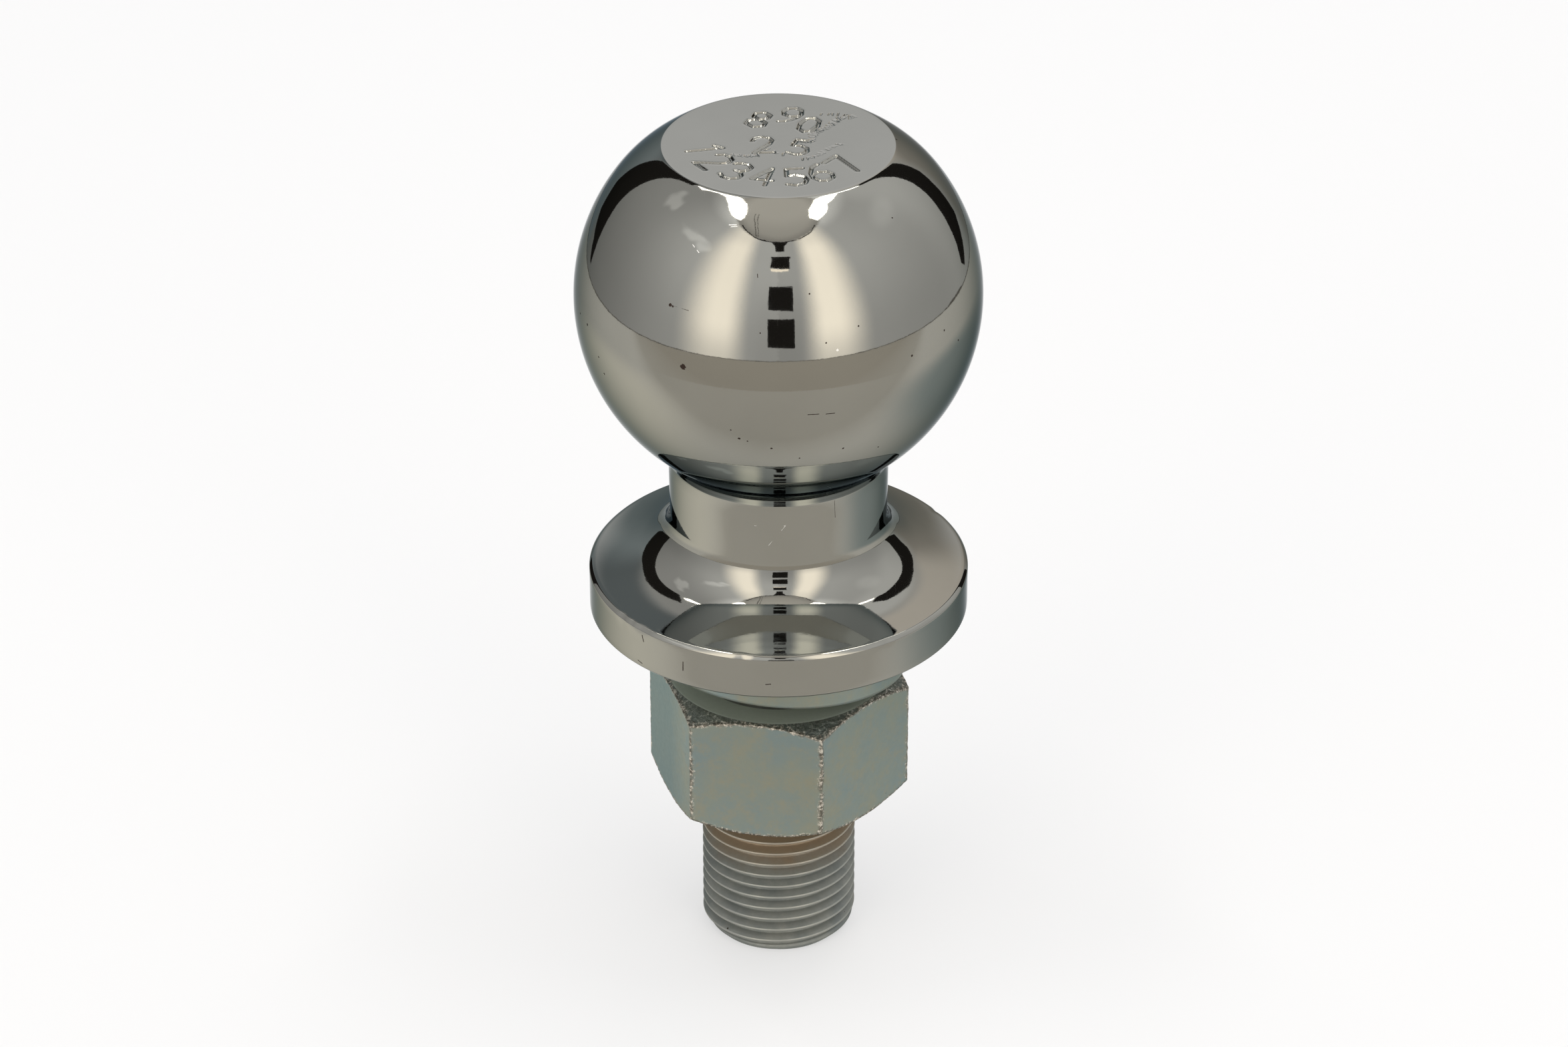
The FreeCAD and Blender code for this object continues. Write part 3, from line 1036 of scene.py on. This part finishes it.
def makeWasher(settings):
    bm = bmesh.new()
    inner = settings["inner"]
    outer = inner + settings["width"]
    half = settings["thickness"] / 2
    first = startLine(bm, inner, -half)
    pen = lineTo(bm, first, outer, -half, 12)
    pen = lineTo(bm, pen, outer, half, 8)
    pen = lineTo(bm, pen, inner, half, 12)
    pen = lineTo(bm, pen, inner, -half, 8)
    bmesh.ops.remove_doubles(bm, verts=bm.verts[:], dist=1e-7)
    middleRadius = (inner + outer) / 2
    gapAngle = settings["gap"] / middleRadius
    for vert in bm.verts:
        shear = -vert.co.z * math.tan(math.radians(settings["slant"])) / mm(middleRadius)
        vert.co = Matrix.Rotation(shear + gapAngle / 2, 3, "Z") @ vert.co
    start = bm.edges[:]
    spun = bmesh.ops.spin(
        bm, geom=bm.verts[:] + start, cent=(0, 0, 0), axis=(0, 0, 1), angle=2 * math.pi - gapAngle, steps=240
    )
    end = [item for item in spun["geom_last"] if isinstance(item, bmesh.types.BMEdge)]
    bmesh.ops.edgeloop_fill(bm, edges=start)
    bmesh.ops.edgeloop_fill(bm, edges=end)
    turn = Matrix.Rotation(math.radians(settings["split"]), 4, "Z")
    high = math.radians(settings["high"])
    lean = Matrix.Rotation(math.radians(settings["lean"]), 4, Vector((math.sin(high), -math.cos(high), 0)))
    place = Matrix.Translation((0, 0, mm(settings["middle"]))) @ lean @ turn
    bmesh.ops.transform(bm, matrix=place, verts=bm.verts[:])
    finishPiece("springWasher", bm, makeZinc("washerZinc"), "washer", ["spring_washer"])


makeWasher(washerSettings)

# Studio: floor, light tent and cards. All of it is stage, and only the floor shows to the camera.
studio = {
    "floorHeight": -45.35,
    "centre": Vector((0, 0, 0.0415)),
    "tentRadius": 1.8,
    "cardRadius": 1.6,
    "world": (0.86, 0.86, 0.86),
}


def glow(name, colour, strength):
    material = bpy.data.materials.new(name)
    material.use_nodes = True
    tree = material.node_tree
    tree.nodes.clear()
    output = nodeAt(tree, "ShaderNodeOutputMaterial", (300, 0))
    emission = nodeAt(tree, "ShaderNodeEmission", (0, 0))
    emission.inputs["Color"].default_value = linearColour(*colour)
    emission.inputs["Strength"].default_value = strength
    tree.links.new(emission.outputs[0], output.inputs[0])
    return material


def heading(azimuth, elevation):
    # Azimuth 0 is towards the camera and grows to the right.
    across = math.radians(azimuth)
    up = math.radians(elevation)
    return Vector((math.sin(across) * math.cos(up), -math.cos(across) * math.cos(up), math.sin(up)))


def seen(x, y):
    # The direction, as azimuth and elevation, that the ball reflects at a place in its enlarged part
    ray = sightLine("ball", x, y)
    spot = ballSurface.ray_cast(photoView["place"], ray)[0]
    joinTurn, shoulderRadius, shoulderHeight = shoulderOf(ballSettings)
    normal = spot - Vector((0, 0, mm(ballSettings["centre"])))
    around = Vector((spot.x, spot.y, 0)).normalized()
    if math.atan2(normal.dot(around), normal.z) < joinTurn:
        normal = spot - around * mm(shoulderRadius) - Vector((0, 0, mm(shoulderHeight)))
    way = ray.reflect(normal.normalized())
    start = spot - studio["centre"]
    along = start.dot(way)
    run = -along + math.sqrt(along**2 - start.length_squared + studio["cardRadius"] ** 2)
    card = (start + way * run).normalized()
    return math.degrees(math.atan2(card.x, -card.y)), math.degrees(math.asin(card.z))


def stageObject(name, bm, material):
    mesh = bpy.data.meshes.new(name)
    bm.to_mesh(mesh)
    bm.free()
    thing = bpy.data.objects.new(name, mesh)
    bpy.context.scene.collection.objects.link(thing)
    mesh.materials.append(material)
    return thing


def band(name, crossings, material, radius, cuts=8):
    # Each crossing is a pair of directions from the ball, joined to the next pair.
    bm = bmesh.new()
    bmesh.ops.create_grid(bm, x_segments=4, y_segments=cuts * (len(crossings) - 1), size=0.5)
    for vert in bm.verts:
        across = vert.co.x + 0.5
        along = (vert.co.y + 0.5) * (len(crossings) - 1)
        index = min(len(crossings) - 2, int(along))
        ends = [Vector(first).lerp(Vector(last), across) for first, last in crossings[index : index + 2]]
        spot = ends[0].lerp(ends[1], along - index)
        vert.co = studio["centre"] + heading(spot.x, spot.y) * radius
    stageObject(name, bm, material).visible_camera = False


def line(points, width):
    # Crossings of a thin line through the given directions
    crossings = []
    for index, point in enumerate(points):
        before = Vector(points[max(0, index - 1)])
        after = Vector(points[min(len(points) - 1, index + 1)])
        along = (after - before).normalized()
        stretch = 1 / max(0.2, math.cos(math.radians(point[1])))
        side = Vector((along.y * stretch, -along.x)) * width / 2
        crossings.append((tuple(Vector(point) - side), tuple(Vector(point) + side)))
    return crossings


def patch(azimuth, elevation, middle, reach, soft):
    away = math.hypot((azimuth - middle[0]) / reach[0], (elevation - middle[1]) / reach[1])
    return 1 - smooth(away, 1 - soft, 1 + soft)


def tentLight(azimuth, elevation):
    side = abs(azimuth)
    light = Vector((0.80, 0.81, 0.85)) * (1 + 0.32 * smooth(elevation, -8, 42))
    if azimuth < 0:
        light *= 1.04 - 0.42 * smooth(side, 45, 118)
    else:
        near = 0.91 + 0.06 * smooth(side, 20, 55) - 0.10 * smooth(side, 50, 95)
        light *= near + 0.14 * smooth(side, 100, 122)
    light *= 1 - 0.06 * (1 - smooth(side, 8, 16)) * (1 - smooth(elevation, 15, 36))
    back = smooth(side, 140, 150)
    left = Vector((0.50, 0.58, 0.66))
    right = Vector((0.66, 0.62, 0.60))
    light = light.lerp(left if azimuth < 0 else right, back)
    if azimuth < 0:
        light *= 1 - 0.5 * smooth(elevation, 14, 30) * smooth(side, 140, 148)
    else:
        light *= 1 + 0.65 * smooth(elevation, 14, 30) * smooth(side, 144, 150)
    light = light.lerp(Vector((1.36, 1.37, 1.50)), smooth(side, 158, 172) * smooth(elevation, 8, 20))
    # Two pale strips, one each side of the camera
    fade = smooth(elevation, 50, 60)
    leftStrip = smooth(azimuth, -60, -35) * (1 - smooth(azimuth, -30, -15)) * (1 - 0.25 * fade)
    rightStrip = smooth(azimuth, 12, 27) * (1 - smooth(azimuth, 33, 55)) * (1 - 0.2 * fade)
    strip = max(leftStrip, rightStrip * 1.05) * (0.55 + 0.45 * smooth(elevation, -12, 10))
    light = light.lerp(Vector((2.62, 2.46, 2.28)), strip)
    ray = heading(azimuth, elevation)
    wander = 9 * noise.noise(ray * 9)
    light *= 1 + 0.5 * patch(azimuth + wander, elevation - wander * 0.4, (-110.5, 43), (7.5, 5), 0.35)
    light *= 1 + 0.42 * patch(azimuth - wander, elevation + wander * 0.4, (-71, 43.8), (14, 4.0), 0.35)
    light *= 1 + 0.16 * patch(azimuth, elevation, (101, 42), (12, 6), 0.6)
    light *= 1 + 0.5 * smooth(elevation, 60, 68) * smooth(side, 45, 60) * (1 - smooth(side, 118, 135))
    # The round opening overhead, in the plane of the ceiling
    if elevation > 40:
        opening = math.hypot(ray.x / ray.z / 0.36, (ray.y / ray.z + 0.2) / 0.40)
        inside = 1 - smooth(opening, 0.97, 1.03)
        tone = 0.86 + 0.22 * smooth(elevation, 62, 80) - 0.25 * smooth(opening, 0.7, 1.0)
        light = light.lerp(Vector((1.0, 0.97, 0.95)) * tone, inside * smooth(elevation, 40, 50))
    return light


def makeTent():
    bm = bmesh.new()
    bmesh.ops.create_uvsphere(bm, u_segments=360, v_segments=180, radius=studio["tentRadius"])
    bmesh.ops.translate(bm, verts=bm.verts[:], vec=studio["centre"])
    layer = bm.verts.layers.float_color.new("light")
    for vert in bm.verts:
        ray = (vert.co - studio["centre"]).normalized()
        azimuth = math.degrees(math.atan2(ray.x, -ray.y))
        elevation = math.degrees(math.asin(max(-1, min(1, ray.z))))
        if elevation > -32:
            vert[layer] = (*tentLight(azimuth, elevation), 1)
        else:
            vert[layer] = (0.5, 0.5, 0.5, 1)
    material = glow("tentGlow", (1, 1, 1), 1.0)
    tree = material.node_tree
    attribute = nodeAt(tree, "ShaderNodeAttribute", (-300, 0))
    attribute.attribute_name = "light"
    tree.links.new(attribute.outputs["Color"], tree.nodes["Emission"].inputs["Color"])
    material.cycles.emission_sampling = "NONE"
    stageObject("studioTent", bm, material).visible_camera = False


makeTent()
black = glow("blackCard", (0.028, 0.026, 0.025), 1.0)
grey = glow("greyCard", (0.22, 0.21, 0.20), 1.0)
pale = glow("paleCard", (2.6, 2.35, 2.1), 1.0)
for still in (black, grey, pale):
    still.cycles.emission_sampling = "NONE"
lamp = glow("lampPanel", (1.0, 0.97, 0.94), 9.0)
# Corners are places where the ball shows them, or directions as azimuth and elevation.
cards = {
    "windowLow": (black, [(seen(736, 952), seen(834, 955)), (seen(736, 850), seen(832, 850))]),
    "windowMiddle": (
        black,
        [
            (seen(738, 818), seen(828, 823)),
            ((-6, 24), (9, 24)),
            (seen(742, 735), seen(825, 733)),
        ],
    ),
    "windowSill": (pale, [((-5, 39.3), (7, 39.3)), ((-5.6, 40.9), (7.6, 40.5))]),
    "windowHigh": (
        black,
        [
            (seen(745, 668), seen(815, 672)),
            ((-5.2, 45), (8.2, 45)),
            (seen(748, 628), seen(817, 628)),
        ],
    ),
    "windowTop": (
        black,
        [
            (seen(765, 612), seen(795, 610)),
            ((-3, 56), (5.6, 56)),
            ((-7.5, 59.3), (10, 59.2)),
        ],
    ),
    "leftFlag": (
        black,
        [
            ((-131.8, -12.6), seen(105, 640)),
            ((-131.7, -9.5), seen(118, 560)),
            (seen(130, 580), (-147, -8.4)),
            ((-132.2, -2), seen(200, 360)),
            ((-133.4, 6.4), seen(260, 310)),
            ((-133.6, 15.4), seen(310, 290)),
            ((-133.5, 22), seen(345, 285)),
            (seen(350, 350), (-144.8, 28)),
            (seen(400, 350), (-142, 37)),
            (seen(430, 358), (-138, 45)),
            (seen(470, 375), (-132, 54)),
        ],
    ),
    "rightFlag": (
        black,
        [
            (seen(1425, 650), seen(1438, 660)),
            ((128, -5), seen(1430, 570)),
            ((129, -1), (143, -6)),
            ((130.3, 6), (143, 4.8)),
            ((132, 14), seen(1270, 320)),
            ((133.5, 21.5), seen(1210, 298)),
            (seen(1190, 345), (144, 30)),
            (seen(1150, 345), (142, 39)),
            (seen(1090, 357), (136, 50)),
            ((127.5, 52), (130, 55)),
        ],
    ),
    "leftLamp": (
        lamp,
        [
            (seen(490, 375), (-127, 54.5)),
            (seen(500, 388), (-124, 58)),
            (seen(560, 400), (-121.5, 65)),
            (seen(590, 415), (-116, 72)),
            (seen(598, 440), (-108, 75)),
            ((-81, 68.3), (-90, 76.8)),
            (seen(610, 480), (-74, 76)),
            ((-60, 67.9), (-61, 73.5)),
            ((-55.5, 68.4), (-56, 71)),
        ],
    ),
    "rightLamp": (
        lamp,
        [
            (seen(1060, 372), (128, 54)),
            ((122, 58.5), (124, 60)),
            ((118.5, 64), (120.5, 66.5)),
            (seen(980, 410), (117, 70.6)),
            (seen(948, 440), (104, 75.1)),
            ((85, 68.4), (88, 76)),
            (seen(945, 470), (71, 76)),
            ((65, 67.8), (60, 74)),
            ((56.6, 68), (52.5, 72)),
        ],
    ),
    "rimLeft": (black, line([(-48, 66.3), seen(665, 540), seen(700, 565), (-8.2, 59.2), (0, 59)], 0.7)),
    "rimRight": (black, line([(0, 59), (7, 59), seen(850, 565), seen(890, 540), (48, 66.3)], 0.6)),
    "cordLeft": (grey, line([(-50, 76.6), (-36, 71), (-28, 66), (-24, 61.5)], 0.5)),
    "cordRight": (grey, line([(-44, 77.6), (-31, 71), (-24.5, 66), seen(703, 560)], 0.35)),
}
for name, (material, crossings) in cards.items():
    band(name, crossings, material, studio["cardRadius"])


def floorReach(azimuth):
    # How far the floor runs from the part, in metres; it is longest towards the camera.
    power = 3 if azimuth < 0 else 1.2
    return 0.35 + 0.145 * max(0, math.cos(math.radians(azimuth / 2))) ** (2 * power)


def makeFloor():
    bm = bmesh.new()
    bmesh.ops.create_circle(bm, cap_ends=True, segments=180, radius=1)
    for vert in bm.verts:
        azimuth = math.degrees(math.atan2(vert.co.x, -vert.co.y))
        reach = floorReach(azimuth)
        vert.co = Vector((vert.co.x * reach, vert.co.y * reach, mm(studio["floorHeight"])))
    material, tree, shader, coords = newMaterial("paleFloor")
    x, y, z, distance = fromAxis(tree, (-1100, 0), coords)
    # The floor is darker in front of the part, and darker again in a ring further out in front, which is
    # painted shade on the floor for the ball to reflect.
    ring = maths(tree, (-500, 100), "GREATER_THAN", distance, 0.182)
    front = maths(tree, (-500, -100), "MULTIPLY_ADD", y, -10.0, -0.6, clamp=True)
    outer = maths(tree, (-300, 0), "MULTIPLY", ring, front)
    near = maths(tree, (-500, -300), "MULTIPLY_ADD", y, -30.0, -0.9, clamp=True)
    inner = mixColour(tree, (-200, -300), near, (0.72, 0.72, 0.71), (0.575, 0.57, 0.55))
    tone = mixColour(tree, (0, 0), outer, inner, (0.49, 0.47, 0.435))
    tree.links.new(tone, shader.inputs["Base Color"])
    shader.inputs["Roughness"].default_value = 0.9
    shader.inputs["Specular IOR Level"].default_value = 0.1
    # Camera and glossy rays see part of it as plain white, which keeps the background pale.
    path = nodeAt(tree, "ShaderNodeLightPath", (0, 500))
    seen = maths(tree, (200, 500), "MAXIMUM", path.outputs["Is Camera Ray"], path.outputs["Is Glossy Ray"])
    away = maths(tree, (200, 300), "SUBTRACT", 1.0, maths(tree, (0, 300), "MAXIMUM", near, outer))
    share = maths(tree, (400, 400), "MULTIPLY", maths(tree, (300, 400), "MULTIPLY", seen, away), 0.5)
    white = nodeAt(tree, "ShaderNodeEmission", (600, 300), Color=(1, 1, 1, 1), Strength=1.0)
    blend = nodeAt(tree, "ShaderNodeMixShader", (800, 200))
    tree.links.new(share, blend.inputs[0])
    tree.links.new(shader.outputs[0], blend.inputs[1])
    tree.links.new(white.outputs[0], blend.inputs[2])
    tree.links.new(blend.outputs[0], tree.nodes["Material Output"].inputs[0])
    material.cycles.emission_sampling = "NONE"
    stageObject("floor", bm, material)


makeFloor()


def lowReflector(name, middle, reach, colour):
    # A soft low card beside the part, that only polished metal shows
    bm = bmesh.new()
    bmesh.ops.create_grid(bm, x_segments=24, y_segments=24, size=1)
    layer = bm.verts.layers.float_color.new("fade")
    for vert in bm.verts:
        fade = 1 - smooth(math.hypot(vert.co.x, vert.co.y), 0.35, 1.0)
        vert[layer] = (fade, fade, fade, 1)
        low = mm(studio["floorHeight"] + 0.6)
        vert.co = Vector((middle[0] + vert.co.x * reach[0], middle[1] + vert.co.y * reach[1], low))
    material = glow(name + "Glow", colour, 1.0)
    material.cycles.emission_sampling = "NONE"
    tree = material.node_tree
    clear = nodeAt(tree, "ShaderNodeBsdfTransparent", (0, 200))
    attribute = nodeAt(tree, "ShaderNodeAttribute", (-300, 0))
    attribute.attribute_name = "fade"
    blend = nodeAt(tree, "ShaderNodeMixShader", (200, 200))
    tree.links.new(attribute.outputs["Fac"], blend.inputs[0])
    tree.links.new(clear.outputs[0], blend.inputs[1])
    tree.links.new(tree.nodes["Emission"].outputs[0], blend.inputs[2])
    tree.links.new(blend.outputs[0], tree.nodes["Material Output"].inputs[0])
    thing = stageObject(name, bm, material)
    thing.visible_camera = False
    thing.visible_diffuse = False
    thing.visible_shadow = False


# The left card is a bright painted reflection of a lighter floor, and the right card is dark and bluish,
# painted shade of the floor on that side.
lowReflector("lowLeft", (-0.105, 0.045), (0.095, 0.13), (1.27, 1.24, 1.17))
lowReflector("lowRight", (0.115, 0.06), (0.085, 0.13), (0.52, 0.60, 0.64))


def makeHorizon():
    # A low dark strip round the floor's edge, higher for a short way on the right
    bm = bmesh.new()
    bmesh.ops.create_circle(bm, segments=180, radius=1)
    low = bm.verts[:]
    raised = bmesh.ops.extrude_edge_only(bm, edges=bm.edges[:])["geom"]
    high = [item for item in raised if isinstance(item, bmesh.types.BMVert)]
    for verts, rise in ((low, 0), (high, 2.6)):
        for vert in verts:
            azimuth = math.degrees(math.atan2(vert.co.x, -vert.co.y))
            reach = floorReach(azimuth) * 0.998
            dash = 4 * patch(azimuth, 0, (112, 0), (7, 1), 0.3) if rise else 0
            lift = mm(studio["floorHeight"] + rise + dash)
            vert.co = Vector((vert.co.x * reach, vert.co.y * reach, lift))
    thing = stageObject("horizonStrip", bm, grey)
    thing.visible_camera = False
    thing.visible_shadow = False


makeHorizon()
print("studio made")

world = bpy.data.worlds.new("paleWorld")
bpy.context.scene.world = world
world.use_nodes = True
world.node_tree.nodes["Background"].inputs["Color"].default_value = linearColour(*studio["world"])
world.node_tree.nodes["Background"].inputs["Strength"].default_value = 1.0


def areaLight(name, place, size, power, aim=(0, 0, 0)):
    data = bpy.data.lights.new(name, "AREA")
    data.size = size
    data.energy = power
    thing = bpy.data.objects.new(name, data)
    thing.location = place
    thing.rotation_euler = (Vector(aim) - Vector(place)).to_track_quat("-Z", "Y").to_euler()
    bpy.context.scene.collection.objects.link(thing)
    thing.visible_glossy = False


areaLight("topSoft", (0, 0.1, 1.3), 1.2, 2.5)

camera = bpy.data.cameras.new("camera")
camera.lens = photoView["lens"]
camera.sensor_width = photoView["sensor"]
cameraObject = bpy.data.objects.new("camera", camera)
cameraObject.location = photoView["place"]
cameraObject.rotation_euler = (math.radians(photoView["tilt"]), 0, 0)
bpy.context.scene.collection.objects.link(cameraObject)
bpy.context.scene.camera = cameraObject
bpy.context.scene.view_settings.view_transform = "Standard"
